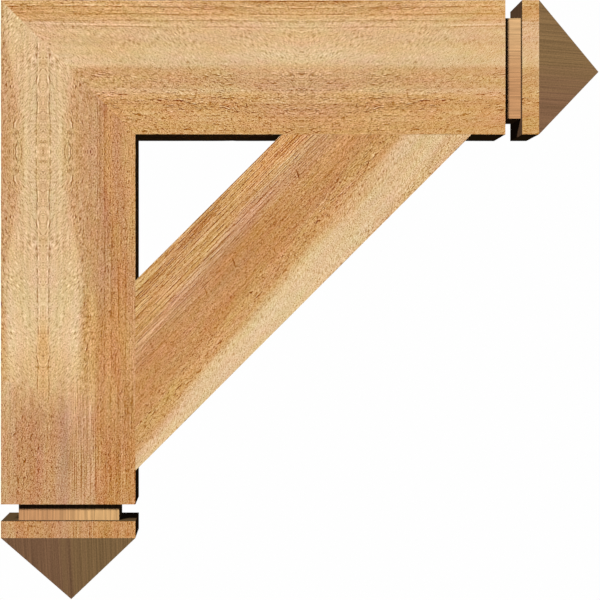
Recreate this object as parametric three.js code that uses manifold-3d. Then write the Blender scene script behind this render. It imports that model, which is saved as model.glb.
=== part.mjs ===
// A timber corbel bracket: a level top arm and an upright wall post of the same square section,
// mitred together at the top back corner and braced by a diagonal of that section, flush on both sides.
// The free end of the arm and of the post is grooved all round, and runs out in a collar and a pyramid point.
//
// X runs out from the wall, Y across the bracket and Z up. The origin is the middle of the post's flat
// back face, where the bracket is fixed to a wall.

import * as THREE from 'three';
import { mergeVertices } from 'three/addons/utils/BufferGeometryUtils.js';
import Module from 'manifold-3d';

// Driving dimensions, in millimetres
const SECTION = 140; // side of the square timber
const REACH = 630; // back of the wall post to the tip of the arm, and top of the arm to the tip of the post
const GROOVE_LENGTH = 17.5; // along the timber
const GROOVE_DEPTH = 17.5; // cut in from each of the four faces
const COLLAR_LENGTH = 17.5; // the square band between the groove and the point
const POINT_HEIGHT = 70; // a pyramid with faces at 45 degrees
const JOINT_GAP = 0.3; // hairline left in each joint

// Sizes that follow from them
const HALF = SECTION / 2;
const SHOULDER = REACH - POINT_HEIGHT - COLLAR_LENGTH - GROOVE_LENGTH; // corner to groove
const TOP = SHOULDER / 2; // height of the arm's top above the middle of the post's back face
const NECK_HALF = HALF - GROOVE_DEPTH;
const NECK_ROOT = SECTION / 4; // how far the neck is carried into the timber before the two are joined
const MITRE_SETBACK = (JOINT_GAP / 2) * Math.SQRT2; // half the hairline, measured along the timber
const BRACE_OUTER = REACH; // the brace's outer edge lies on the line between the two tips
const BRACE_INNER = BRACE_OUTER - SECTION * Math.SQRT2;

const wasm = await Module();
wasm.setup();

// Weathered face and heart colours of rough-sawn softwood
const armWood = new THREE.MeshStandardMaterial({ color: 0xcf9f66, roughness: 0.85, metalness: 0 });
const postWood = new THREE.MeshStandardMaterial({ color: 0xd6ab72, roughness: 0.85, metalness: 0 });
const braceWood = new THREE.MeshStandardMaterial({ color: 0xc8935c, roughness: 0.85, metalness: 0 });

// A closed geometry as a solid: its shared corners are merged and triangles without area dropped.
function toSolid(geometry) {
  geometry.deleteAttribute('normal');
  geometry.deleteAttribute('uv');
  const merged = mergeVertices(geometry);
  const corners = merged.index.array;
  const kept = [];
  for (let i = 0; i < corners.length; i += 3) {
    const [a, b, c] = corners.slice(i, i + 3);
    if (a !== b && b !== c && c !== a) kept.push(a, b, c);
  }
  const vertProperties = new Float32Array(merged.attributes.position.array);
  const triVerts = new Uint32Array(kept);
  return new wasm.Manifold(new wasm.Mesh({ numProp: 3, vertProperties, triVerts }));
}

// A solid as a geometry that a mesh can show.
function toGeometry(solid) {
  const { vertProperties, triVerts } = solid.getMesh();
  const geometry = new THREE.BufferGeometry();
  geometry.setAttribute('position', new THREE.BufferAttribute(vertProperties, 3));
  geometry.setIndex(new THREE.BufferAttribute(triVerts, 1));
  geometry.computeVertexNormals();
  return geometry;
}

// A side outline, given as points (out from the wall, down from the top), sawn across the full section.
function sawnOutline(points) {
  const shape = new THREE.Shape(points.map(([out, down]) => new THREE.Vector2(out, -down)));
  const geometry = new THREE.ExtrudeGeometry(shape, { depth: SECTION, bevelEnabled: false });
  geometry.translate(0, 0, -HALF);
  geometry.rotateX(Math.PI / 2);
  return geometry;
}

// The turned-down end of a timber, about its own axis along X: neck, collar and point. A lathe of four
// sides makes each ring a square, whose corners lie on the diagonals of the section.
function timberEnd() {
  const profile = [
    [0, -NECK_ROOT],
    [NECK_HALF, -NECK_ROOT],
    [NECK_HALF, GROOVE_LENGTH],
    [HALF, GROOVE_LENGTH],
    [HALF, GROOVE_LENGTH + COLLAR_LENGTH],
    [0, GROOVE_LENGTH + COLLAR_LENGTH + POINT_HEIGHT],
  ];
  const points = profile.map(([half, along]) => new THREE.Vector2(half * Math.SQRT2, along));
  const geometry = new THREE.LatheGeometry(points, 4, Math.PI / 4);
  geometry.rotateZ(-Math.PI / 2);
  geometry.translate(SHOULDER, 0, -HALF);
  return geometry;
}

// One timber, lying along X with its top face at zero: mitred at the corner, with its end worked.
function mitredTimber() {
  const outline = [
    [MITRE_SETBACK, 0],
    [SHOULDER, 0],
    [SHOULDER, SECTION],
    [SECTION + MITRE_SETBACK, SECTION],
  ];
  return toGeometry(toSolid(sawnOutline(outline)).add(toSolid(timberEnd())));
}

// The diagonal, from the underside of the arm to the front of the post, with its ends cut to both.
function brace() {
  const face = SECTION + JOINT_GAP;
  const outline = [
    [BRACE_INNER - face, face],
    [BRACE_OUTER - face, face],
    [face, BRACE_OUTER - face],
    [face, BRACE_INNER - face],
  ];
  return toGeometry(toSolid(sawnOutline(outline)));
}

function piece(name, geometry, material) {
  const mesh = new THREE.Mesh(geometry, material);
  mesh.name = name;
  return mesh;
}

const bracket = new THREE.Group();
bracket.position.z = TOP;

const timber = mitredTimber();
bracket.add(piece('top_arm', timber, armWood));

// Half a turn about the mitre brings the same timber down against the wall.
const post = piece('wall_post', timber, postWood);
const mitreLine = new THREE.Vector3(1, 0, -1).normalize();
post.quaternion.setFromAxisAngle(mitreLine, Math.PI);
bracket.add(post);

bracket.add(piece('diagonal_brace', brace(), braceWood));

export default bracket;
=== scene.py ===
"""Looks of a rough-sawn timber corbel bracket: its three timbers, the studio stage and the camera.

Lengths are in metres. Grain, growth rings and saw marks are worked out in millimetres of the timber.
"""

import math
from dataclasses import dataclass
from typing import NamedTuple

import bpy
import numpy as np
from bpy.props import FloatProperty, FloatVectorProperty, IntProperty, PointerProperty
from bpy.types import Operator, Panel, PropertyGroup
from mathutils import Matrix, Vector


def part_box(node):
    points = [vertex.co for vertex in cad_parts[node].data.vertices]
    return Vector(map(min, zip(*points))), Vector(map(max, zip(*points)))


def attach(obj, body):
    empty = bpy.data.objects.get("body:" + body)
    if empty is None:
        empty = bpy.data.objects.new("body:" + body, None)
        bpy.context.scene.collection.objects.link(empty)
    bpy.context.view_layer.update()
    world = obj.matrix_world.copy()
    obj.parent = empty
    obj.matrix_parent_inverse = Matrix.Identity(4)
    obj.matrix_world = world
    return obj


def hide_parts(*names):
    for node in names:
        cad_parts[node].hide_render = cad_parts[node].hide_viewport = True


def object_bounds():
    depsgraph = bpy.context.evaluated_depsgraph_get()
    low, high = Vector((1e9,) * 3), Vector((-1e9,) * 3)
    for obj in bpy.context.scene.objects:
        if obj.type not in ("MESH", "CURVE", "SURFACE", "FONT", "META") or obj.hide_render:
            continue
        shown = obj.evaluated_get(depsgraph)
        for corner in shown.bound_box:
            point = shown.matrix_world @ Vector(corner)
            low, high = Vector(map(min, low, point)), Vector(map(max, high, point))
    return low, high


bl_info = {
    "name": "Timber corbel bracket",
    "version": (1, 0, 0),
    "blender": (4, 5, 0),
    "location": "View3D > Sidebar > Bracket",
    "description": "Rough-sawn skins for the arm, the post and the brace of a corbel bracket",
    "category": "Object",
}

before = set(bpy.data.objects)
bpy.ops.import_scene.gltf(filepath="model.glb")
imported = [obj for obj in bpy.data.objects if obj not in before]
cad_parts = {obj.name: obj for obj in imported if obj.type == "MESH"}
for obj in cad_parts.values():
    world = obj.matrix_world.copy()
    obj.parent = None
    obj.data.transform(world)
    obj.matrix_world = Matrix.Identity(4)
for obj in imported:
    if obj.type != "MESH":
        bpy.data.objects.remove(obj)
CAD_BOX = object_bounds()

MM = 0.001
ARM_LOW, ARM_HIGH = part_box("top_arm")
SECTION = ARM_HIGH.y - ARM_LOW.y
TOP = ARM_HIGH.z
SHOULDER = 2 * TOP  # the origin is half way down to it
REACH = ARM_HIGH.x
EIGHTH = SECTION / 8

# Finishes, by their place in a grooved timber's list of materials
SAWN, NECK, WALL, CUT = range(4)
SIDES = 4
UV_NAME = "sawn_face"

# Grid rows of a worked end's stretches, and the share of the point left to the fan at its tip
WALL_ROWS = 4
NECK_ROWS = 6
COLLAR_ROWS = 6
POINT_ROWS = 20
TIP_SHARE = 0.005

# The display's curve, and what one unit of each change adds to a sawn face's colour as displayed
DISPLAY_GAMMA = 2.2
LIGHTER = (0.85, 1.05, 1.18)
PINKER = (0.0075, -0.0075, 0.0)
GOLDER = (0.002, 0.004, -0.008)

BLACK = (0.0, 0.0, 0.0, 1.0)
WHITE = (1.0, 1.0, 1.0, 1.0)


def display(red, green, blue):
    """The scene-linear colour of a display colour given from 0 to 255, by the sRGB curve."""
    share = np.array((red, green, blue)) / 255
    return tuple(np.where(share <= 0.04045, share / 12.92, ((share + 0.055) / 1.055) ** 2.4).tolist())


def vector(label, words, default, kind, **limits):
    """A property of three numbers."""
    return FloatVectorProperty(name=label, description=words, default=default, subtype=kind, **limits)


def tone(label, words, *rgb):
    """A colour property whose default is a display colour."""
    return vector(label, words, display(*rgb), "COLOR", min=0, max=1)


def length(label, words, default):
    """A length property, in metres."""
    return FloatProperty(name=label, description=words, default=default, unit="LENGTH", precision=5)


def strength(label, words, default):
    """A property for how strongly something shows or shines."""
    return FloatProperty(name=label, description=words, default=default, min=0, precision=3)


class BracketSizes(PropertyGroup):
    """Sizes of the timbers."""

    section: length("Timber side", "Side of the square timber", SECTION)
    shoulder: length("Shoulder", "Top corner to the groove, along the outer edge", SHOULDER)
    groove_length: length("Groove length", "Groove measured along the timber", EIGHTH)
    groove_depth: length("Groove depth", "Groove cut in from each face", EIGHTH)
    collar_length: length("Collar length", "Square band beyond the groove", EIGHTH)
    point_height: length("Point height", "Pyramid beyond the collar", SECTION / 2)
    brace_reach: length("Brace reach", "Outer edge of the brace, out plus down from the corner", REACH)


class WoodTones(PropertyGroup):
    """Colours of the wood."""

    cream: tone("Cream", "Palest sapwood", 226, 193, 147)
    straw: tone("Straw", "Pale wood beside the cream", 222, 183, 136)
    honey: tone("Honey", "Golden lined wood", 219, 173, 117)
    tan: tone("Tan", "Pinkish middle wood", 214, 171, 121)
    fawn: tone("Fawn", "Dull brown wood", 204, 158, 112)
    amber: tone("Amber", "Orange-brown wood", 212, 163, 106)
    apricot: tone("Apricot", "Bright orange wood", 222, 168, 110)
    blush: tone("Blush", "Pink lined wood", 209, 160, 115)
    russet: tone("Russet", "Reddest face wood", 203, 149, 94)
    umber: tone("Umber", "Darkest face wood", 198, 142, 87)
    rose: tone("Rose", "Smooth pink-brown wood", 199, 147, 101)
    ash_rose: tone("Ash rose", "Grey-pink streak", 199, 154, 118)
    cut_olive: tone("Cut olive", "End cuts, the yellower part", 180, 142, 96)
    cut_rose: tone("Cut rose", "End cuts, the redder part", 174, 130, 96)


class SawnFinish(PropertyGroup):
    """Relief of the sawn faces."""

    fibre_relief: length("Fibre relief", "Height of the long fibre ridges", 0.08 * MM)
    torn_relief: length("Torn relief", "Depth of the torn-out dashes", 0.35 * MM)
    line_relief: length("Line relief", "Step from one growth ring to the next", 0.1 * MM)
    arris_wear: length("Arris wear", "Most that a long edge is rubbed back", 0.12 * MM)
    side_points: IntProperty(name="Points across", description="Grid points across a face", default=124)
    body_rows: IntProperty(name="Rows along", description="Grid rows along a timber", default=150)


class MarkStrengths(PropertyGroup):
    """Shade of the marks on the sawn faces."""

    grit: strength("Grit", "Fine grains all over", 0.37)
    grit_loss: strength("Grit loss", "Grit that gives way to saw strokes in patches", 0.12)
    stroke: strength("Stroke", "Saw strokes outside the patches", 0.2)
    stroke_patch: strength("Stroke patch", "Saw strokes added in patches", 0.38)
    streak: strength("Streak", "Fine lines along the grain", 0.4)
    fibre: strength("Fibre", "Short fibres in coarse wood", 0.4)
    speck: strength("Speck", "Dark specks all over", 0.195)
    speck_coarse: strength("Coarse speck", "Dark specks added in coarse wood", 0.975)
    # dashes: partly darker torn fibres, partly painted shade inside the tears
    dash: strength("Dash", "Dark torn dashes", 1.3)
    # beside each dash: a pale lifted fibre, partly a painted highlight on the lit side of its tear
    lift: strength("Lift", "Bright fibres lifted beside the dashes", 0.8)
    seam: strength("Seam", "Dark line at each growth ring", 0.8)
    # painted highlight along the ridge before each growth ring's dark line
    lip_highlight: strength("Lip", "Bright line before each dark one", 0.6)
    # painted shade in the mesh's torn pits, partly the darker torn fibres
    torn: strength("Torn", "Darkening in the torn dashes of the mesh", 0.2)
    darkest: strength("Darkest", "Most that all these marks together darken", 1.5)
    contrast: strength("Contrast", "Lightness for one unit of shade", 0.249)
    gloom: strength("Gloom", "Lightness lost in bright and dark marks alike", 0.06)


class StudioSet(PropertyGroup):
    """Camera, light and floor."""

    eye: vector("Eye", "Camera position", (229.6 * MM, -3432 * MM, -50.5 * MM), "TRANSLATION")
    frame_width: length("Frame width", "Width of the picture at the front faces", 624.3 * MM)
    frame_left: length("Frame left", "Left edge of the picture at the front faces", -0.9 * MM)
    frame_top: length("Frame top", "Top edge of the picture at the front faces", TOP - 0.12 * MM)
    key: strength("Key", "Strength of the key light", 3.46)
    key_from: vector("Key from", "Towards the key light from the camera", (-0.281, 0.369, 1.0), "XYZ")
    key_size: FloatProperty(
        name="Key size", description="Angle of the key light", default=math.radians(8), subtype="ANGLE"
    )
    fill: strength("Fill", "Strength of the light from all round", 0.014)
    floor_drop: length("Floor drop", "Floor below the lower point", 0.5)
    floor_size: length("Floor size", "Side of the floor", 40)
    paper: strength("Paper", "Brightness of the floor and backdrop", 0.992)


# Shader expressions


class Wire:
    """A node socket in an expression. Arithmetic on it adds Math nodes, and node() adds any other."""

    def __init__(self, tree, socket=None):
        self.tree = tree
        self.socket = socket

    def node(self, kind, settings=None, sockets=None, out=None):
        """Adds a node: first its settings or its ramp's stops, then the value or link of each socket."""
        made = self.tree.nodes.new(kind)
        for name, value in (settings or {}).items():
            if name == "stops":
                fill_ramp(made.color_ramp, value)
            else:
                setattr(made, name, value)
        for key, value in (sockets or {}).items():
            socket = made.inputs[key] if isinstance(key, int) else shown(made.inputs, key)
            if isinstance(value, Wire):
                self.tree.links.new(value.socket, socket)
            else:
                socket.default_value = value
        return Wire(self.tree, shown(made.outputs, out))

    def math(self, operation, first, second=0.0):
        """A Math node on one or two values."""
        return self.node("ShaderNodeMath", {"operation": operation}, {0: first, 1: second})

    def __add__(self, other):
        return self.math("ADD", self, other)

    __radd__ = __add__

    def __sub__(self, other):
        return self.math("SUBTRACT", self, other)

    def __rsub__(self, other):
        return self.math("SUBTRACT", other, self)

    def __mul__(self, other):
        return self.math("MULTIPLY", self, other)

    __rmul__ = __mul__

    def __truediv__(self, other):
        return self.math("DIVIDE", self, other)

    def __abs__(self):
        return self.math("ABSOLUTE", self)

    def rise(self, low, high):
        """0 below low, 1 above high and a smooth step between them; with low above high it falls."""
        settings = {"interpolation_type": "SMOOTHSTEP"}
        sockets = {"Value": self, "From Min": low, "From Max": high}
        return self.node("ShaderNodeMapRange", settings, sockets)

    def hump(self, begin, full, fade, end):
        """1 from full to fade, 0 before begin and after end, and smooth steps between them."""
        return self.rise(begin, full) * self.rise(end, fade)

    def blend(self, first, second, share):
        """The first colour mixed with the second by a share, which is held between 0 and 1."""
        return self.node("ShaderNodeMix", {"data_type": "RGBA"}, {"Factor": share, "A": first, "B": second})

    def dimmed(self, factor):
        """This colour times a value."""
        return self.node("ShaderNodeVectorMath", {"operation": "SCALE"}, {"Vector": self, "Scale": factor})

    def gamma(self, power):
        """This colour with each of its channels raised to a power."""
        return self.node("ShaderNodeGamma", None, {"Color": self, "Gamma": power})

    def plus(self, direction, amount):
        """This colour moved in a fixed direction by an amount."""
        sockets = {0: amount, 1: direction, 2: self}
        return self.node("ShaderNodeVectorMath", {"operation": "MULTIPLY_ADD"}, sockets)


def shown(sockets, name):
    """The socket in use with that name, or the first in use for no name."""
    return next((s for s in sockets if s.enabled and name in (None, s.name)), None)


def fill_ramp(ramp, stops):
    """Puts the stops, as (position, colour), on a colour ramp."""
    ramp.elements.remove(ramp.elements[1])
    ramp.elements[0].position = stops[0][0]
    ramp.elements[0].color = (*stops[0][1], 1.0)
    for position, colour in stops[1:]:
        ramp.elements.new(position).color = (*colour, 1.0)


# Grain of the timbers


# Noise in the wood: its cells along the grain and across it, in millimetres, and its seed
BAND_SWAY = ((150, 70, 70), 11)
RING_SWAY = ((45, 25, 25), 12)
FIBRES = ((22, 1.9, 1.9), 21)
PITS = ((9, 2.2, 2.2), 22)
ARRISES = ((26, 400, 400), 23)

# Random numbers that it draws on, and how far it pushes bands and ring lines, in millimetres
NOISE_TABLE = 256
BAND_PUSH = 0.9
RING_PUSH = 0.3

# Ranges of noise over which pits and wear appear
PIT_RANGE = (0.45, 0.85)
WEAR_RANGE = (-0.2, 0.9)

# Part of a ring's width that its step takes, and the share of the step in wood without lines
STEP_RANGE = (0.5, 1.0)
LEAST_STEP = 0.3


@dataclass
class Timber:
    """How one timber grew and was sawn.

    Its frame has a along the grain, v down from its top edge and w across the bracket, in millimetres.
    Bands give the tone, and how far saw strokes, torn dashes and ring lines show, as shares of about 1.
    The flare, the far range, patches and nicks are placed by distances from the folds. Angles are given in
    degrees from the grain."""

    node: str
    slot: str
    turn: Matrix  # from the timber's axes to the bracket's
    corner: Vector  # where a, v and w are zero
    front: int  # sign of w on the front face
    pith: tuple  # (v, w) of the middle of the growth rings
    bands: list  # (front-face distance from the fold or the top edge, tone, strokes, dashes, lines)
    beyond: list  # the same by ring radius, for rings that miss the front face
    pitch: float  # from ring to ring
    start: float  # radius of one ring's dark line
    slant: float  # angle of the long saw strokes
    lie: float  # angle of the short fibres and dashes
    fold_along: float = None  # place along where the figure is mirrored like a book
    fold_across: float = None  # the same for a place across
    fold_stop: float = math.inf  # place along where the saw marks' fold across ends
    lean: tuple = (0.0, 0.0)  # shift of the bands for each millimetre along, from a place along
    line_lean: tuple = (0.0, 0.0)  # the same for the ring lines
    wander: float = 0.0  # how far the ring lines wander, as a share of the pitch
    rough: tuple = ((0, 1.0),)  # (place along, share of all marks)
    flare: tuple = (0.0, (0.0, 1.0), (0.0, 1.0))  # shift of the bands over a range along and one across
    far_bands: tuple = ()  # bands by distance from the top edge that take over farther along
    far_range: tuple = None  # range along where they do
    patches: tuple = ()  # (tone, share, along, across, half length, half width)
    nicks: tuple = ()  # (shade, along, across, half length, half width, angle if any), dark below zero
    reddish: tuple = (50, 90)  # range across where the end cuts turn redder
    neck: tuple = None  # the planed neck's two tones, the range across between them and its brightness
    point_level: float = 1.0  # brightness of the point

    def __post_init__(self):
        """Keeps the angles in radians, with that of the leaning bands."""
        self.slant = math.radians(self.slant)
        self.lie = math.radians(self.lie)
        self.tilt = -math.atan(self.lean[0])

    def front_radius(self, distance):
        """Ring radius of a front-face point at that distance from the fold, or from the top edge."""
        across = (self.fold_across or 0.0) + distance
        return math.hypot(across - self.pith[0], self.front * SECTION / MM / 2 - self.pith[1])

    def ring_stops(self):
        """(radius, tone, strokes, dashes, lines) from the pith outwards."""
        return sorted([(self.front_radius(d), *rest) for d, *rest in self.bands] + self.beyond)


LEVEL = Matrix.Identity(3)
UPRIGHT = Matrix.Rotation(math.pi, 3, Vector((1, 0, -1)))
SLOPING = Matrix.Rotation(-math.pi / 4, 3, "Y")
BRACE_INNER = REACH - SECTION * math.sqrt(2)
TOP_CORNER = Vector((0, 0, TOP))
BRACE_CORNER = Vector((SECTION, 0, TOP - BRACE_INNER + SECTION))

ARM = Timber(
    node="top_arm",
    slot="arm_timber",
    turn=LEVEL,
    corner=TOP_CORNER,
    front=-1,
    pith=(-150, 0),
    beyond=[(0, "russet", 0, 1, 0), (140, "amber", 0, 1, 0.5), (160, "honey", 0, 0.4, 1)],
    bands=[
        (0, "honey", 0.4, 0.85, 1.0),
        (8, "honey", 0.4, 0.9, 1.0),
        (16, "honey", 0.5, 0.65, 0.6),
        (24, "straw", 0.75, 0.7, 0.5),
        (31, "straw", 0.95, 0.4, 0.35),
        (34, "straw", 0.9, 0.3, 0),
        (46, "straw", 0.85, 0.2, 0),
        (58, "cream", 0.75, 0.1, 0),
        (66, "cream", 0.75, 0.2, 0),
        (73, "tan", 0.5, 0.7, 0.1),
        (78, "tan", 0.5, 1, 0.1),
        (90, "tan", 0.5, 0.9, 0.1),
        (95, "straw", 0.4, 0.95, 0.1),
        (99, "honey", 0.3, 1.0, 0.2),
        (105, "amber", 0.2, 1.15, 0.4),
        (112, "amber", 0.2, 1.1, 0.2),
        (122, "amber", 0.1, 0.9, 0.1),
        (140, "amber", 0.1, 0.9, 0.2),
    ],
    pitch=6.3,
    start=166.9,
    slant=-45,
    lie=-20,
    fold_along=313,
    line_lean=(0.007, 60),
    rough=[(400, 1.0), (500, 0.62)],
    reddish=(60, 110),
    neck=("tan", "rose", (20, 90), 0.98),
    patches=[
        ("amber", 0.6, 275, 12, 50, 12),
        ("amber", 0.8, 273, 112, 13, 66),
        ("russet", 0.6, 295, 9, 30, 6),
        ("amber", 0.25, 195, 75, 45, 60),
        ("ash_rose", 0.3, 0, 100, 60, 30),
    ],
    nicks=[(0.45, 215, 25.2, 95, 0.9, -1.1), (-0.25, 215, 26.7, 95, 0.7, -1.1)],
)
POST = Timber(
    node="wall_post",
    slot="post_timber",
    turn=UPRIGHT,
    corner=TOP_CORNER,
    front=1,
    pith=(44, 70),
    beyond=[
        (110, "tan", 0.2, 1, 0.4),
        (135, "honey", 0.3, 0.6, 0.6),
        (150, "amber", 0.1, 1, 0.4),
        (172, "russet", 0, 1, 0.3),
    ],
    bands=[
        (0, "cream", 1, 0.2, 0.2),
        (9, "cream", 1.1, 0.1, 0.2),
        (18, "cream", 1.1, 0.2, 0.1),
        (22.5, "straw", 0.9, 0.6, 0),
        (25, "tan", 0.9, 1.05, 0),
        (38, "fawn", 0.5, 0.72, 0.1),
        (52, "fawn", 0.3, 0.8, 0.5),
        (58, "rose", 0.2, 0.8, 0.5),
        (67, "russet", 0.1, 0.8, 0.4),
        (76, "rose", 0.1, 0.8, 0.35),
        (92, "amber", 0.1, 0.7, 0.3),
    ],
    pitch=7.2,
    start=6.4,
    slant=-36,
    lie=-16,
    fold_along=158,
    fold_across=44,
    fold_stop=410,
    rough=[(470, 1.0), (545, 0.84)],
    flare=(-17.5, (0, 170), (4, 24)),
    reddish=(50, 0),
    far_range=(220, 285),
    far_bands=[
        (0, "fawn", 0, 0.7, 0.6),
        (13, "fawn", 0, 0.8, 0.5),
        (18, "rose", 0, 0.9, 0.1),
        (40, "rose", 0, 0.9, 0.1),
        (46, "fawn", 0, 0.8, 0.1),
        (54, "rose", 0, 0.9, 0.1),
        (64, "ash_rose", 0, 0.6, 0.2),
        (68, "ash_rose", 0, 0.3, 0.5),
        (74, "fawn", 0, 0.5, 1.3),
        (95, "fawn", 0, 0.6, 1.3),
        (101, "umber", 0, 0.85, 0.7),
        (114, "umber", 0, 0.85, 0.7),
        (126, "russet", 0, 0.85, 0.7),
        (140, "umber", 0, 0.85, 0.7),
    ],
    neck=("rose", "honey", (0, 60), 0.925),
    point_level=0.91,
    patches=[
        ("straw", 0.8, 40, 0, 130, 9),
        ("fawn", 0.15, 60, 22, 95, 9),
        ("russet", 0.4, 428, 26, 13, 90),
        ("honey", 1.0, 214, 0, 50, 8.5),
        ("honey", 0.4, 238, 20, 38, 60),
        ("amber", 0.9, 195, 48, 60, 12),
        ("honey", 0.7, 200, 53, 70, 8),
        ("umber", 1.0, 205, 70, 75, 20),
        ("apricot", 0.4, 205, 74, 75, 16),
        ("honey", 0.5, 200, 93, 70, 9),
        ("honey", 0.35, 45, 91, 110, 9),
    ],
    wander=0.16,
    nicks=[(0.1, 200, 25, 58, 17), (-0.7, 4, 22.5, 5, 0.8, 12), (0.8, 0, 6.8, 9, 0.8)],
)
BRACE = Timber(
    node="diagonal_brace",
    slot="brace_timber",
    turn=SLOPING,
    corner=BRACE_CORNER,
    front=-1,
    pith=(-150, 0),
    beyond=[(0, "russet", 0, 1, 0), (130, "amber", 0, 1, 0.5)],
    bands=[
        (-12, "honey", 0, 0.4, 1.8),
        (-3.5, "honey", 0, 0.4, 1.8),
        (2.5, "umber", 0, 0.6, 1.9),
        (9, "amber", 0, 0.6, 1.7),
        (20, "amber", 0, 0.6, 1.25),
        (28, "amber", 0, 0.5, 1.3),
        (34, "blush", 0, 0.5, 1.4),
        (38, "blush", 0, 0.4, 1.2),
        (44, "rose", 0, 0.5, 0.9),
        (53, "russet", 0, 0.7, 0.45),
        (84, "russet", 0, 0.8, 0.3),
        (91, "amber", 0.1, 1, 0.3),
        (104, "amber", 0.6, 0.9, 0.2),
        (110, "straw", 0.9, 0.5, 0.1),
        (116, "cream", 0.75, 0.1, 0),
        (140, "cream", 0.75, 0.1, 0),
        (148, "straw", 0.7, 0.7, 0.3),
        (152, "straw", 0.6, 0.7, 0.2),
    ],
    pitch=3.6,
    start=166.0,
    slant=-30,
    lie=-7,
    lean=(0.09, 107),
    patches=[
        ("amber", 0.6, 255, 84, 34, 15),
        ("amber", 0.5, 205, 46, 75, 16),
        ("apricot", 0.9, 205, 12, 75, 16),
        ("straw", 0.35, 205, 28, 75, 8),
        ("blush", 0.6, 205, 39, 75, 9),
        ("amber", 0.55, 205, 102, 75, 10),
        ("cream", 0.6, 12, 123, 82, 10),
        ("rose", 0.5, 50, 62, 90, 9),
    ],
    wander=0.15,
    rough=[(0, 0.85), (110, 0.88), (200, 1.05)],
    nicks=[
        (0.12, 45, 3, 75, 5),
        (0.07, 25, 127, 90, 8),
        (-1.2, 198, 41, 6.5, 0.85, 117),
        (-0.8, 86, 59, 6.5, 0.85, 117),
        (-0.5, 44, 60, 6.5, 0.85, 117),
        (-0.4, -35, 58, 6.5, 0.85, 117),
    ],
)


def lattice_noise(points, cell, seed):
    """Value noise from -1 to 1: a random number at each corner of a lattice of cells, with a smoothstep
    blend between the eight corners round a point."""
    table = np.random.default_rng(seed)
    order = np.tile(table.permutation(NOISE_TABLE), 2)
    values = table.uniform(-1, 1, NOISE_TABLE)
    place = points / np.array(cell, float)
    low = np.floor(place).astype(int)
    part = place - low
    part = part * part * (3 - 2 * part)
    total = np.zeros(points.shape[:-1])
    for corner in np.ndindex(2, 2, 2):
        x, y, z = np.moveaxis((low + corner) % NOISE_TABLE, -1, 0)
        weight = np.where(np.array(corner, bool), part, 1 - part).prod(-1)
        total += weight * values[order[order[order[x] + y] + z]]
    return total


def step(low, high, value):
    """Smooth step from 0 at low to 1 at high."""
    share = np.clip((value - low) / (high - low), 0, 1)
    return share * share * (3 - 2 * share)


def folded(timber, place, mirrored=True):
    """Points as distances from the timber's folds: along the grain, and across it where mirrored."""
    turned = place.copy()
    if timber.fold_along:
        turned[..., 0] = np.abs(place[..., 0] - timber.fold_along)
    if timber.fold_across:
        offset = place[..., 1] - timber.fold_across
        turned[..., 1] = np.where(mirrored, np.abs(offset), offset)
    return turned


def ring_radius(timber, place):
    """Distance from the pith, pushed in and out by noise along the grain.

    It is given for the ring lines with their lean, and for the bands with slower noise, lean and flare."""
    figure = folded(timber, place)
    radius = np.hypot(place[..., 1] - timber.pith[0], place[..., 2] - timber.pith[1])
    radius += RING_PUSH * lattice_noise(figure, *RING_SWAY)
    amount, along, across = timber.flare
    zone = radius + BAND_PUSH * lattice_noise(figure, *BAND_SWAY)
    zone += amount * step(*along, figure[..., 0]) * step(*across, figure[..., 1])
    zone += timber.lean[0] * (figure[..., 0] - timber.lean[1])
    return radius + timber.line_lean[0] * (figure[..., 0] - timber.line_lean[1]), zone


# Skins


def worked_end(sizes):
    """Stretches from the shoulder to the tip, as (length along, half side at the end, rows, finish)."""
    half = sizes.section / 2
    neck = half - sizes.groove_depth
    return [
        (0.0, neck, WALL_ROWS, WALL),
        (sizes.groove_length, neck, NECK_ROWS, NECK),
        (0.0, half, WALL_ROWS, WALL),
        (sizes.collar_length, half, COLLAR_ROWS, SAWN),
        (sizes.point_height * (1 - TIP_SHARE), half * TIP_SHARE, POINT_ROWS, CUT),
    ]


def square_loop(points):
    """A square of half side 1 walked round from (-1, -1): its points (v, w) and the side of each."""
    corners = np.array([(-1, -1), (1, -1), (1, 1), (-1, 1)], float)
    side = np.repeat(np.arange(SIDES), points)
    share = np.tile(np.arange(points) / points, SIDES)[:, None]
    return corners[side] * (1 - share) + corners[(side + 1) % SIDES] * share, side


def timber_skin(timber, sizes, finish, start, stop, ends):
    """The skin of a timber as a grid of rings.

    Ring k and loop point t lie at (a, v, w): v and w are the square loop times the ring's half side, and a
    runs evenly from the start cut to the stop cut, then along the worked end. A cut is (a at the top edge,
    change of a with v). On sawn rows each point is moved by the relief along its face's outward normal.
    Gives the grid before and after that, the wood's values and each row's finish."""
    half = sizes.section / 2
    loop, side = square_loop(finish.side_points)
    normals = np.array([(0, -1), (1, 0), (0, 1), (-1, 0)], float)
    outward = normals[side]
    first = np.arange(SIDES) * finish.side_points
    outward[first] += normals[(side[first] - 1) % SIDES]

    share = np.linspace(0, 1, finish.body_rows + 1)[:, None]
    v = (loop[:, 0] + 1) * half
    along = (start[0] + start[1] * v) * (1 - share) + (stop[0] + stop[1] * v) * share
    halves = np.full(len(share), half)
    kinds = np.full(finish.body_rows, SAWN)
    place = stop[0]
    for run, end_half, rows, kind in ends:
        ramp = np.arange(1, rows + 1) / rows
        along = np.vstack([along, np.repeat((place + run * ramp)[:, None], len(loop), 1)])
        halves = np.concatenate([halves, halves[-1] + (end_half - halves[-1]) * ramp])
        kinds = np.concatenate([kinds, np.full(rows, kind)])
        place += run

    across = halves[:, None, None] * loop + np.array((half, 0))
    grid = np.concatenate([along[..., None], across], -1) / MM
    ring, zone = ring_radius(timber, grid)
    sawn_row = np.concatenate([[True], kinds == SAWN])
    height, torn = relief(timber, grid, ring, zone, first, finish)
    skin = grid.copy()
    skin[..., 1:] += outward * (height * sawn_row[:, None])[..., None]
    rough = np.interp(grid[..., 0], *zip(*timber.rough))
    return grid, skin, {"ring": ring, "zone": zone, "torn": torn, "rough": rough}, kinds


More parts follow.
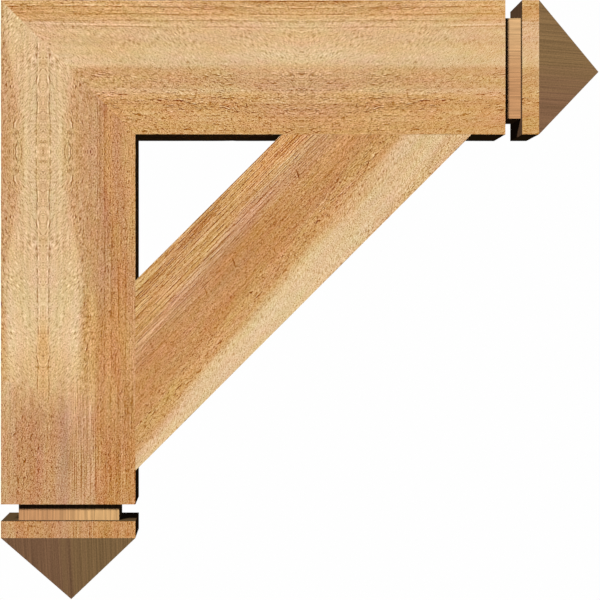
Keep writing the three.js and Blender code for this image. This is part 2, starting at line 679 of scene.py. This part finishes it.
def relief(timber, grid, ring, zone, first, finish):
    """How far each point stands out from its face, in millimetres, and how torn it is.

    Noise drawn out into fibre ridges, less torn dashes where the wood is coarse, a step at each ring, and
    wear along the arrises."""
    figure = folded(timber, grid)
    radius, _, _, dashes, lines = zip(*timber.ring_stops())
    fibre = lattice_noise(figure, *FIBRES)
    pits = step(*PIT_RANGE, lattice_noise(figure, *PITS)) * np.interp(zone, radius, dashes)
    terrace = step(*STEP_RANGE, (ring - timber.start) / timber.pitch % 1)
    terrace *= LEAST_STEP + (1 - LEAST_STEP) * np.interp(zone, radius, lines)
    wear = np.zeros_like(ring)
    wear[:, first] = step(*WEAR_RANGE, lattice_noise(figure[:, first], *ARRISES))
    depth = finish.torn_relief * pits + finish.line_relief * terrace + finish.arris_wear * wear
    return (finish.fibre_relief * fibre - depth) / MM, pits


def skin_faces(rows, loop):
    """Quads between neighbouring rings and a fan at each end, as arrays of vertex numbers."""
    k, t = np.meshgrid(np.arange(rows - 1), np.arange(loop), indexing="ij")
    after = (t + 1) % loop
    quads = np.stack([k * loop + t, k * loop + after, (k + 1) * loop + after, (k + 1) * loop + t], -1)
    edge = np.arange(loop)
    turn = (edge + 1) % loop
    start = np.stack([edge, np.full(loop, rows * loop), turn], -1)
    last = (rows - 1) * loop
    stop = np.stack([last + edge, last + turn, np.full(loop, rows * loop + 1)], -1)
    return quads.reshape(-1, 4), start, stop


def skin_uv(timber, grid, kinds):
    """Millimetres along and across the faces at the corners of their quads, which the marks follow.

    Along is the distance from the fold along, and over the worked end the walk from ring to ring is added.
    Across is v on the front and back and w on the other two, mirrored at the fold across as far as that
    reaches. Each side is set off by a fixed step."""
    loop = grid.shape[1]
    walk = np.linalg.norm(np.diff(grid, axis=0), axis=-1)
    body = np.argmax(np.append(kinds, CUT) != SAWN)
    along = folded(timber, grid)[..., 0]
    along[body + 1 :] = along[body] + np.cumsum(walk[body:], 0)
    side = np.arange(loop) * SIDES // loop
    first = 0 if timber.front < 0 else 2
    offset = (side - first) % SIDES * 2 * SECTION / MM
    mirrored = grid[:-1, :, 0].mean(1, keepdims=True) < timber.fold_stop

    def across(points):
        figure = folded(timber, points, mirrored)
        return np.where(side % 2 == 0, figure[..., 1], figure[..., 2]) + offset

    beside = np.roll(along, -1, 1)
    next_grid = np.roll(grid, -1, 1)
    corners = [
        (along[:-1], grid[:-1]),
        (beside[:-1], next_grid[:-1]),
        (beside[1:], next_grid[1:]),
        (along[1:], grid[1:]),
    ]
    return np.stack([np.stack([a, across(points)], -1) for a, points in corners], 2)


def new_object(scene, name, data):
    """An object in the scene's own collection."""
    made = bpy.data.objects.new(name, data)
    scene.collection.objects.link(made)
    return made


def skin_object(timber, scene, start, stop, ends=()):
    """Makes the timber's mesh from its skin, closed by a fan at each end, in place of the solid.

    The wood's values become the point attributes ring, zone, torn and rough."""
    sizes = scene.bracket_sizes
    finish = scene.bracket_finish
    materials = timber_materials(timber, scene)
    grid, skin, grain, kinds = timber_skin(timber, sizes, finish, start, stop, ends)
    rows, loop, _ = grid.shape
    points = np.concatenate([skin.reshape(-1, 3), [grid[0].mean(0)], [grid[-1].mean(0)]])
    if ends:
        points[-1, 0] = (stop[0] + sum(run for run, *_ in ends) + sizes.point_height * TIP_SHARE) / MM
    local = np.stack([points[:, 0], points[:, 2], -points[:, 1]], -1) * MM
    world = local @ np.array(timber.turn).T + np.array(timber.corner)
    quads, start_fan, stop_fan = skin_faces(rows, loop)

    mesh = bpy.data.meshes.new(timber.node + "_skin")
    mesh.from_pydata(world.tolist(), [], quads.tolist() + start_fan.tolist() + stop_fan.tolist())
    uv = skin_uv(timber, grid, kinds).reshape(-1, 2)
    fans = np.zeros((3 * 2 * loop, 2))
    mesh.uv_layers.new(name=UV_NAME).data.foreach_set("uv", np.concatenate([uv, fans]).ravel())
    for name, values in grain.items():
        values = np.append(values.ravel(), [values[0].mean(), values[-1].mean()])
        mesh.attributes.new(name, "FLOAT", "POINT").data.foreach_set("value", values)
    for material in materials:
        mesh.materials.append(material)
    index = np.concatenate([np.repeat(kinds, loop), np.full(2 * loop, CUT)])
    mesh.polygons.foreach_set("material_index", np.minimum(index, len(materials) - 1))
    mark_edges(mesh, rows, loop, kinds, finish)
    mesh.validate()

    piece = new_object(scene, timber.node + "_sawn", mesh)
    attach(piece, "root")
    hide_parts(timber.node)
    piece.visible_diffuse = False  # no light from wood to wood, as in the photograph's dark shadows


def mark_edges(mesh, rows, loop, kinds, finish):
    """Smooth faces with sharp edges on the four arrises and on each ring where the finish changes."""
    mesh.polygons.foreach_set("use_smooth", np.ones(len(mesh.polygons), bool))
    ends = np.empty(2 * len(mesh.edges), np.int32)
    mesh.edges.foreach_get("vertices", ends)
    ends = ends.reshape(-1, 2)
    on_grid = (ends < rows * loop).all(1)
    column, row = ends % loop, ends // loop
    arris = (column[:, 0] == column[:, 1]) & (column[:, 0] % finish.side_points == 0)
    breaks = np.concatenate([[True], np.diff(kinds) != 0, [True]])
    turned = (row[:, 0] == row[:, 1]) & breaks[np.minimum(row[:, 0], rows - 1)]
    mesh.edges.foreach_set("use_edge_sharp", on_grid & (arris | turned))


# Finishes


class Mark(NamedTuple):
    """Marks of one kind: length and width in millimetres, the part and the detail of their noise, and the
    range of it over which spots appear."""

    length: float
    width: float
    shift: float = 0
    detail: float = 2
    edge: tuple = None


DRIFT = Mark(150, 14, 40)
VEIN = Mark(260, 4.5, 430)
CLOUD = Mark(13, 4.5, 200)
PINK_FIELD = Mark(60, 18, 900)
PINK_SPOT = Mark(14, 6, 950)
GOLD_FIELD = Mark(80, 14, 800)
GOLD_SPOT = Mark(18, 5, 850)
GRIT = Mark(1.1, 0.9, 100, 0)
STROKE = Mark(5.0, 0.95, 0, 1)
STROKE_PATCH = Mark(45, 16, 560, 2, (-0.6, 0.6))
STREAK = Mark(60, 1.1, 0, 1)
FIBRE = Mark(3.4, 0.95, 700, 1)
SPECK = Mark(4.2, 1.3, 640, 1, (0.7, 1.1))
DASH = Mark(9, 1.15, 300, 1, (0.2, 0.8))
# the dashes' own noise set aside, shown as a pale fibre and painted highlight beside each dash
LIFT_HIGHLIGHT = DASH._replace(edge=(0.3, 0.9))
DASH_SWAY = Mark(7, 6, 77)
DASH_CROWD = Mark(42, 2.8, 610, 2, (-0.1, 0.5))
SEAM_GAP = Mark(9, 3, 520)
SEAM_WANDER = Mark(26, 60, 480)
FAR_EDGE = Mark(30, 9, 60)
NECK_LINE = Mark(60, 1.6)
NECK_BAND = Mark(200, 9, 70)
CUT_LINE = Mark(200, 1.3)
CUT_VEIN = Mark(400, 6, 35)
CUT_GRIT = Mark(3, 1.2, 100, 1)

# Lightness, pink and gold for one unit of the slow marks, with what coarse wood adds
DRIFT_LIGHT = 0.018
CLOUD_LIGHT = 0.012
CLOUD_COARSE = 0.012
VEIN_LIGHT = 0.009
VEIN_COARSE = 0.013
PINK_SHARES = (1.2, 0.7)
GOLD_SHARES = (1.4, 0.8)

# Spread of noise, shares of faint, strong and dark flecks, and averages to make up for
NOISE_SPREAD = 4.0
FLECK_FAINT = 0.4
FLECK_STRONG = 0.8
FLECK_DARK = 0.25
FLECK_MEAN = 0.06
SPECK_MEAN = 0.025

# Swing of the dashes, and place of the pale lifted fibres beside them that are partly painted highlight, in
# millimetres across
DASH_SWING = 1.1
LIFT_HIGHLIGHT_ASIDE = -1.2

# Shares of the lie that dashes and specks keep
DASH_LIE = 0.4
SPECK_LIE = 0.6

# Dashes outside the crowds, their depth in smooth wood, and the shares where they deepen
STRAY_DASHES = 0.15
SHALLOW_DASHES = 0.35
DEEP_RANGE = (0.75, 1.2)

# Place of a ring's seam and of the painted highlight before it in shares of its width, and how far they
# drift
SEAM_PLACE = 0.93
SEAM = (0.78, 0.88, 0.96, 1.0)
LIP_HIGHLIGHT = (0.58, 0.66, 0.74, 0.8)
SEAM_DRIFT = 0.08

# Ranges of noise where the seam and its painted highlight appear, and the share of fibres in the seam
SEAM_SHOWS = (-0.6, 0.2)
LIP_HIGHLIGHT_SHOWS = (-0.2, 0.5)
SEAM_FIBRE = 0.9

# Lines added beside the fold across, and how far they reach, in millimetres
FOLD_LINES = 0.75
FOLD_REACH = (10.0, 8.0)

# Ragged edges in millimetres, and a patch's soft edge in shares of its half sizes
FAR_RAGGED = 14.0
CUT_RAGGED = 12.0
PATCH_EDGE = (1.15, 0.4)

# Brightness of one unit of each mark on the neck and the cuts, and of the groove's walls as painted shade
NECK_LINE_LEVEL = 0.25
NECK_BAND_LEVEL = 0.08
CUT_LINE_LEVEL = 0.2
CUT_VEIN_LEVEL = 0.06
CUT_GRIT_LEVEL = 0.12
GROOVE_PAINTED_SHADE_LEVEL = 0.62

# Roughness and its change with the lines, and millimetres of bump for one unit of shade or line
SAWN_ROUGH = (0.84, 0.06)
NECK_ROUGH = (0.7, 0.05)
CUT_ROUGH = (0.72, 0.05)
SAWN_BUMP = 0.14
NECK_BUMP = 0.03
CUT_BUMP = 0.02
DRY_SPECULAR = 0.05


def laid(uv, centre, turn, size):
    """Place on the face from a centre, turned and in units of a size."""
    sockets = {"Vector": uv, "Location": (*centre, 0), "Rotation": (0, 0, turn), "Scale": (*size, 1)}
    return uv.node("ShaderNodeMapping", {"vector_type": "TEXTURE"}, sockets)


def marks(uv, mark, turn=0.0, aside=0.0):
    """Noise from about -1 to 1, stretched to marks of one kind, turned from the grain and moved across."""
    place = laid(uv, (mark.shift, mark.shift + aside), turn, (mark.length, mark.width))
    sockets = {"Vector": place, "Scale": 1.0, "Detail": mark.detail, "Roughness": 0.5}
    noise = uv.node("ShaderNodeTexNoise", {"noise_dimensions": "2D"}, sockets)
    return (noise - 0.5) * NOISE_SPREAD


def spots(uv, mark, turn=0.0, aside=0.0):
    """Marks of one kind as spots: 1 inside them and 0 between them."""
    return marks(uv, mark, turn, aside).rise(*mark.edge)


def flecks(uv, mark, turn):
    """Marks set apart: most are faint and a few strong, the dark ones more so than the bright ones."""
    even = marks(uv, mark, turn)
    uneven = even * (FLECK_FAINT + FLECK_STRONG * abs(even))
    return uneven + FLECK_MEAN - FLECK_DARK * even * even


def solid(tones, name):
    """A tone as a socket's colour."""
    return (*getattr(tones, name), 1.0)


def empty_tree(owner):
    """A wire on the emptied node tree of a material or a world."""
    owner.use_nodes = True
    owner.node_tree.nodes.clear()
    return Wire(owner.node_tree)


def new_material(name):
    """An empty material, and a wire on its tree."""
    material = bpy.data.materials.new(name)
    return material, empty_tree(material)


def principled(wire, sockets):
    """Ends a material with a Principled shader."""
    shader = wire.node("ShaderNodeBsdfPrincipled", None, sockets)
    wire.node("ShaderNodeOutputMaterial", {"target": "ALL"}, {"Surface": shader})


def surface(wire, colour, rough, line, height):
    """A dry matt surface of that colour, rougher along its lines, with a height in millimetres."""
    least, change = rough
    sockets = {
        "Base Color": colour,
        "Roughness": least + change * line,
        "Specular IOR Level": DRY_SPECULAR,
        "Normal": wire.node("ShaderNodeBump", None, {"Strength": 1.0, "Distance": MM, "Height": height}),
    }
    principled(wire, sockets)


def read(wire, name):
    """The value of a point attribute."""
    return wire.node("ShaderNodeAttribute", {"attribute_name": name}, out="Fac")


def read_face(wire):
    """Place on the face, in millimetres, with its parts along and across the grain."""
    uv = wire.node("ShaderNodeUVMap", {"uv_map": UV_NAME})
    return uv, *[wire.node("ShaderNodeSeparateXYZ", None, {"Vector": uv}, out=axis) for axis in "XY"]


def sawn_material(timber, scene):
    """Rough-sawn face: tones by growth ring, saw strokes, torn dashes, lifted fibres and fine ring lines.

    All marks add up to one shade, which lightens or darkens the tone as it is displayed. It holds painted
    highlights beside the dashes and before the ring lines, and painted shade in the dashes and the mesh's
    pits."""
    material, wire = new_material(timber.node + "_sawn_face")
    show = scene.bracket_marks
    uv, along, across = read_face(wire)
    base, strokes, dashes, lines, near = face_figure(timber, scene.bracket_tones, uv, along, across)
    drift = marks(uv, DRIFT, timber.tilt)
    streak = marks(uv, STREAK)
    fibre = flecks(uv, FIBRE, timber.lie)

    shade = stroke_shade(timber, uv, strokes, show)
    shade += show.streak * streak * lines + show.fibre * fibre * dashes
    shade += torn_shade(timber, uv, dashes, show)
    seams = (lines + FOLD_LINES * fold_share(timber, across)) * near
    shade += ring_shade(timber, uv, drift, fibre, show) * seams
    shade = wire.math("MAXIMUM", shade * read(wire, "rough"), -show.darkest)
    for depth, *place in timber.nicks:
        shade += depth * patch(uv, *place)

    light = show.contrast * shade - show.gloom * abs(shade)
    colour = seen_tone(timber, uv, base, light, drift, dashes)
    surface(wire, colour, SAWN_ROUGH, streak, SAWN_BUMP * shade)
    return material


def face_figure(timber, tones, uv, along, across):
    """The tone, how far strokes, dashes and lines show, and 1 where the far bands have not taken over."""
    base, work = figure_ramps(read(uv, "zone"), timber.ring_stops(), tones)
    near = 1.0
    if timber.far_bands:
        share = (along + FAR_RAGGED * marks(uv, FAR_EDGE)).rise(*timber.far_range)
        far_base, far_work = figure_ramps(across + timber.fold_across, timber.far_bands, tones)
        base = base.blend(base, far_base, share)
        work = work.blend(work, far_work, share)
        near = 1.0 - share
    for name, share, *place in timber.patches:
        base = base.blend(base, solid(tones, name), share * patch(uv, *place))
    channels = ("Red", "Green", "Blue")
    shares = [work.node("ShaderNodeSeparateColor", None, {"Color": work}, out=part) for part in channels]
    return base, *shares, near


def stroke_shade(timber, uv, strokes, show):
    """Grit all over, and slanting saw strokes that show more in patches, with less grit there."""
    patchy = spots(uv, STROKE_PATCH)
    grit = flecks(uv, GRIT, timber.lie)
    stroke = flecks(uv, STROKE, timber.slant)
    fine = (show.grit - show.grit_loss * patchy * strokes) * grit
    return fine + (show.stroke + show.stroke_patch * patchy) * stroke * strokes


def torn_shade(timber, uv, dashes, show):
    """Specks, and wavy torn dashes in crowds with a lifted fibre beside each, deep in coarse wood only.

    The dashes are partly darker torn fibres and partly painted shade in their tears, and the fibres beside
    them partly a painted highlight on the tears' lit side.
    """
    speck = spots(uv, SPECK, SPECK_LIE * timber.lie)
    specks = (show.speck + show.speck_coarse * dashes) * (SPECK_MEAN - speck)
    sway = uv.node("ShaderNodeCombineXYZ", None, {"Y": DASH_SWING * marks(uv, DASH_SWAY)})
    wavy = uv.node("ShaderNodeVectorMath", {"operation": "ADD"}, {0: uv, 1: sway})
    # dashes: darker torn fibres and painted shade inside the tears
    dash = spots(wavy, DASH, DASH_LIE * timber.lie)
    # a copy of each dash set beside it: a pale lifted fibre and a painted highlight on the tear's lit side
    lift = spots(wavy, LIFT_HIGHLIGHT, DASH_LIE * timber.lie, LIFT_HIGHLIGHT_ASIDE)
    crowd = STRAY_DASHES + spots(wavy, DASH_CROWD)
    deep = SHALLOW_DASHES * dashes + dashes.rise(*DEEP_RANGE)
    # the mesh's torn pits are darkened: painted shade, partly the darker torn fibres
    return specks + (show.lift * lift - show.dash * dash) * crowd * deep - show.torn * read(uv, "torn")


def ring_shade(timber, uv, drift, fibre, show):
    """A dark seam at each growth ring and a painted highlight along the ridge before it, wandering and
    broken by gaps.
    """
    gap = marks(uv, SEAM_GAP)
    wander = SEAM_DRIFT * drift + timber.wander * marks(uv, SEAM_WANDER)
    ring = (read(uv, "ring") - timber.start) / timber.pitch
    phase = ring.math("FRACT", ring + wander + SEAM_PLACE)
    seam = phase.hump(*SEAM) * gap.rise(*SEAM_SHOWS)
    # painted highlight along the ridge before the seam
    lip_highlight = phase.hump(*LIP_HIGHLIGHT) * gap.rise(*LIP_HIGHLIGHT_SHOWS)
    return show.lip_highlight * lip_highlight - show.seam * seam * (1.0 + SEAM_FIBRE * fibre)


def seen_tone(timber, uv, base, light, drift, dashes):
    """The tone made lighter or darker as it is displayed, with slow changes to light, pink and gold."""
    light += DRIFT_LIGHT * drift
    light += (CLOUD_LIGHT + CLOUD_COARSE * dashes) * marks(uv, CLOUD, timber.lie)
    light += (VEIN_LIGHT + VEIN_COARSE * dashes) * marks(uv, VEIN)
    pink = hue(timber, uv, PINK_FIELD, PINK_SPOT, *PINK_SHARES)
    gold = hue(timber, uv, GOLD_FIELD, GOLD_SPOT, *GOLD_SHARES)
    seen = base.gamma(1 / DISPLAY_GAMMA).plus(PINKER, pink).plus(GOLDER, gold).plus(LIGHTER, light)
    return seen.gamma(DISPLAY_GAMMA)


def hue(timber, uv, field, spot, field_share, spot_share):
    """A change of hue in wide fields along the bands and in short spots along the fibres."""
    return field_share * marks(uv, field, timber.tilt) + spot_share * marks(uv, spot, timber.lie)


def fold_share(timber, across):
    """1 beside the fold across the grain, where the innermost rings show as lines, and 0 elsewhere."""
    if not timber.fold_across:
        return 0.0
    return abs(across).rise(*FOLD_REACH)


def figure_ramps(place, stops, tones):
    """Two ramps over a ring radius or a distance: the tone, and how far strokes, dashes and lines show."""
    span = stops[-1][0]
    colours = [(at / span, getattr(tones, name)) for at, name, *_ in stops]
    shares = [(at / span, work) for at, _, *work in stops]
    sockets = {"Fac": place / span}
    return [place.node("ShaderNodeValToRGB", {"stops": s}, sockets, out="Color") for s in (colours, shares)]


def patch(uv, along, across, half_length, half_width, turn=0.0):
    """1 inside an ellipse on the face and 0 outside it, with a soft edge."""
    place = laid(uv, (along, across), math.radians(turn), (half_length, half_width))
    reach = place.node("ShaderNodeVectorMath", {"operation": "LENGTH"}, {"Vector": place}, out="Value")
    return reach.rise(*PATCH_EDGE)


def neck_material(timber, tones):
    """Planed neck in the groove: from one tone to another across it, with fine lines along the grain."""
    material, wire = new_material(timber.node + "_planed_neck")
    uv, _, across = read_face(wire)
    first, second, reach, level = timber.neck
    line = marks(uv, NECK_LINE)
    band = marks(uv, NECK_BAND)
    colour = wire.blend(solid(tones, first), solid(tones, second), across.rise(*reach))
    colour = colour.dimmed(level + NECK_BAND_LEVEL * band + NECK_LINE_LEVEL * line)
    surface(wire, colour, NECK_ROUGH, line, NECK_BUMP * line)
    return material


def cut_material(timber, tones, name, level):
    """Smooth cuts across the grain: brown, redder to one side, with fine lines along the timber."""
    material, wire = new_material(timber.node + name)
    uv, _, across = read_face(wire)
    line = marks(uv, CUT_LINE)
    vein = marks(uv, CUT_VEIN)
    grit = marks(uv, CUT_GRIT)
    reddish = (across + CUT_RAGGED * vein).rise(*timber.reddish)
    colour = wire.blend(solid(tones, "cut_olive"), solid(tones, "cut_rose"), reddish)
    colour = colour.dimmed(level + CUT_LINE_LEVEL * line + CUT_VEIN_LEVEL * vein + CUT_GRIT_LEVEL * grit)
    surface(wire, colour, CUT_ROUGH, line, CUT_BUMP * line)
    return material


def timber_materials(timber, scene):
    """The finishes of a timber, in the order of their numbers; without a neck, the first and the last."""
    tones = scene.bracket_tones
    face = sawn_material(timber, scene)
    point = cut_material(timber, tones, "_point", timber.point_level)
    if not timber.neck:
        return [face, point]
    # the groove's walls are dimmed as painted shade in the groove
    wall = cut_material(timber, tones, "_groove_wall", GROOVE_PAINTED_SHADE_LEVEL)
    return [face, neck_material(timber, tones), wall, point]


def mitred_timber(timber, scene):
    """A timber with a mitre at the corner and a worked free end."""
    sizes = scene.bracket_sizes
    skin_object(timber, scene, (0.0, 1.0), (sizes.shoulder, 0.0), worked_end(sizes))


# Operators


class BRACKET_OT_top_arm(Operator):
    """Sawn skin of the level arm, with its mitre, groove, collar and point"""

    bl_idname = "bracket.top_arm"
    bl_label = "Top arm"

    def execute(self, context):
        mitred_timber(ARM, context.scene)
        return {"FINISHED"}


class BRACKET_OT_wall_post(Operator):
    """Sawn skin of the upright post, with its mitre, groove, collar and point"""

    bl_idname = "bracket.wall_post"
    bl_label = "Wall post"

    def execute(self, context):
        mitred_timber(POST, context.scene)
        return {"FINISHED"}


class BRACKET_OT_diagonal_brace(Operator):
    """Sawn skin of the diagonal, with its ends cut to the arm and the post"""

    bl_idname = "bracket.diagonal_brace"
    bl_label = "Diagonal brace"

    def execute(self, context):
        sizes = context.scene.bracket_sizes
        inner = sizes.brace_reach - sizes.section * math.sqrt(2)
        inner_length = (inner - 2 * sizes.section) * math.sqrt(2)
        skin_object(BRACE, context.scene, (0.0, -1.0), (inner_length, 1.0))
        return {"FINISHED"}


class BRACKET_OT_stage(Operator):
    """Camera, a key light carried on it, a pale floor and a white backdrop"""

    bl_idname = "bracket.stage"
    bl_label = "Studio stage"

    def execute(self, context):
        scene = context.scene
        studio = scene.bracket_studio
        scene.view_settings.view_transform = "Standard"
        camera = make_camera(scene, studio)
        make_key(scene, studio, camera)
        make_floor(scene, studio)
        make_backdrop(scene, studio)
        return {"FINISHED"}


def make_camera(scene, studio):
    """A level camera, shifted to the photograph's framing."""
    data = bpy.data.cameras.new("camera")
    eye = Vector(studio.eye)
    distance = -SECTION / 2 - eye.y
    data.lens = data.sensor_width * distance / studio.frame_width
    data.shift_x = (studio.frame_left - eye.x) / studio.frame_width + 0.5
    data.shift_y = (studio.frame_top - eye.z) / studio.frame_width - 0.5
    camera = new_object(scene, "camera", data)
    camera.location = eye
    camera.rotation_euler = (math.pi / 2, 0, 0)
    scene.camera = camera
    return camera


def make_key(scene, studio, camera):
    """A sun above and to the left of the camera, carried on it."""
    data = bpy.data.lights.new("key", "SUN")
    data.energy = studio.key
    data.angle = studio.key_size
    key = new_object(scene, "key", data)
    key.parent = camera
    key.rotation_mode = "QUATERNION"
    key.rotation_quaternion = Vector(studio.key_from).to_track_quat("Z", "Y")


def make_floor(scene, studio):
    """A wide pale floor under the bracket, bright enough to meet the backdrop."""
    half = studio.floor_size / 2
    height = CAD_BOX[0].z - studio.floor_drop
    corners = [(-half, -half, height), (half, -half, height), (half, half, height), (-half, half, height)]
    mesh = bpy.data.meshes.new("floor")
    mesh.from_pydata(corners, [], [(0, 1, 2, 3)])
    material, wire = new_material("pale_floor")
    sockets = {
        "Base Color": BLACK,
        "Specular IOR Level": 0.0,
        "Emission Color": WHITE,
        "Emission Strength": studio.paper,
    }
    principled(wire, sockets)
    mesh.materials.append(material)
    floor = new_object(scene, "floor", mesh)
    floor.visible_diffuse = False
    floor.visible_glossy = False
    floor.visible_shadow = False


def make_backdrop(scene, studio):
    """White behind the bracket, and a weak even light on it."""
    world = bpy.data.worlds.new("studio")
    wire = empty_tree(world)
    seen = wire.node("ShaderNodeLightPath", out="Is Camera Ray")
    fill, paper = [
        wire.node("ShaderNodeBackground", None, {"Color": WHITE, "Strength": level})
        for level in (studio.fill, studio.paper)
    ]
    light = wire.node("ShaderNodeMixShader", None, {0: seen, 1: fill, 2: paper})
    wire.node("ShaderNodeOutputWorld", {"target": "ALL"}, {"Surface": light})
    scene.world = world


class BRACKET_PT_sidebar(Panel):
    """Lists the bracket's properties and its operators"""

    bl_idname = "BRACKET_PT_sidebar"
    bl_label = "Corbel bracket"
    bl_space_type = "VIEW_3D"
    bl_region_type = "UI"
    bl_category = "Bracket"

    def draw(self, context):
        for name, group in GROUPS.items():
            box = self.layout.box()
            box.label(text=group.__doc__)
            for key in group.__annotations__:
                box.prop(getattr(context.scene, name), key)
        for maker in MAKERS:
            self.layout.operator(maker.bl_idname)


GROUPS = {
    "bracket_sizes": BracketSizes,
    "bracket_tones": WoodTones,
    "bracket_finish": SawnFinish,
    "bracket_marks": MarkStrengths,
    "bracket_studio": StudioSet,
}
MAKERS = (BRACKET_OT_stage, BRACKET_OT_top_arm, BRACKET_OT_wall_post, BRACKET_OT_diagonal_brace)


def register():
    for name, group in GROUPS.items():
        bpy.utils.register_class(group)
        setattr(bpy.types.Scene, name, PointerProperty(type=group))
    for maker in (*MAKERS, BRACKET_PT_sidebar):
        bpy.utils.register_class(maker)


def unregister():
    for maker in (BRACKET_PT_sidebar, *reversed(MAKERS)):
        bpy.utils.unregister_class(maker)
    for name, group in reversed(GROUPS.items()):
        delattr(bpy.types.Scene, name)
        bpy.utils.unregister_class(group)


def main():
    register()
    bpy.ops.bracket.stage()
    bpy.ops.bracket.top_arm()
    bpy.ops.bracket.wall_post()
    bpy.ops.bracket.diagonal_brace()


if __name__ == "__main__":
    main()
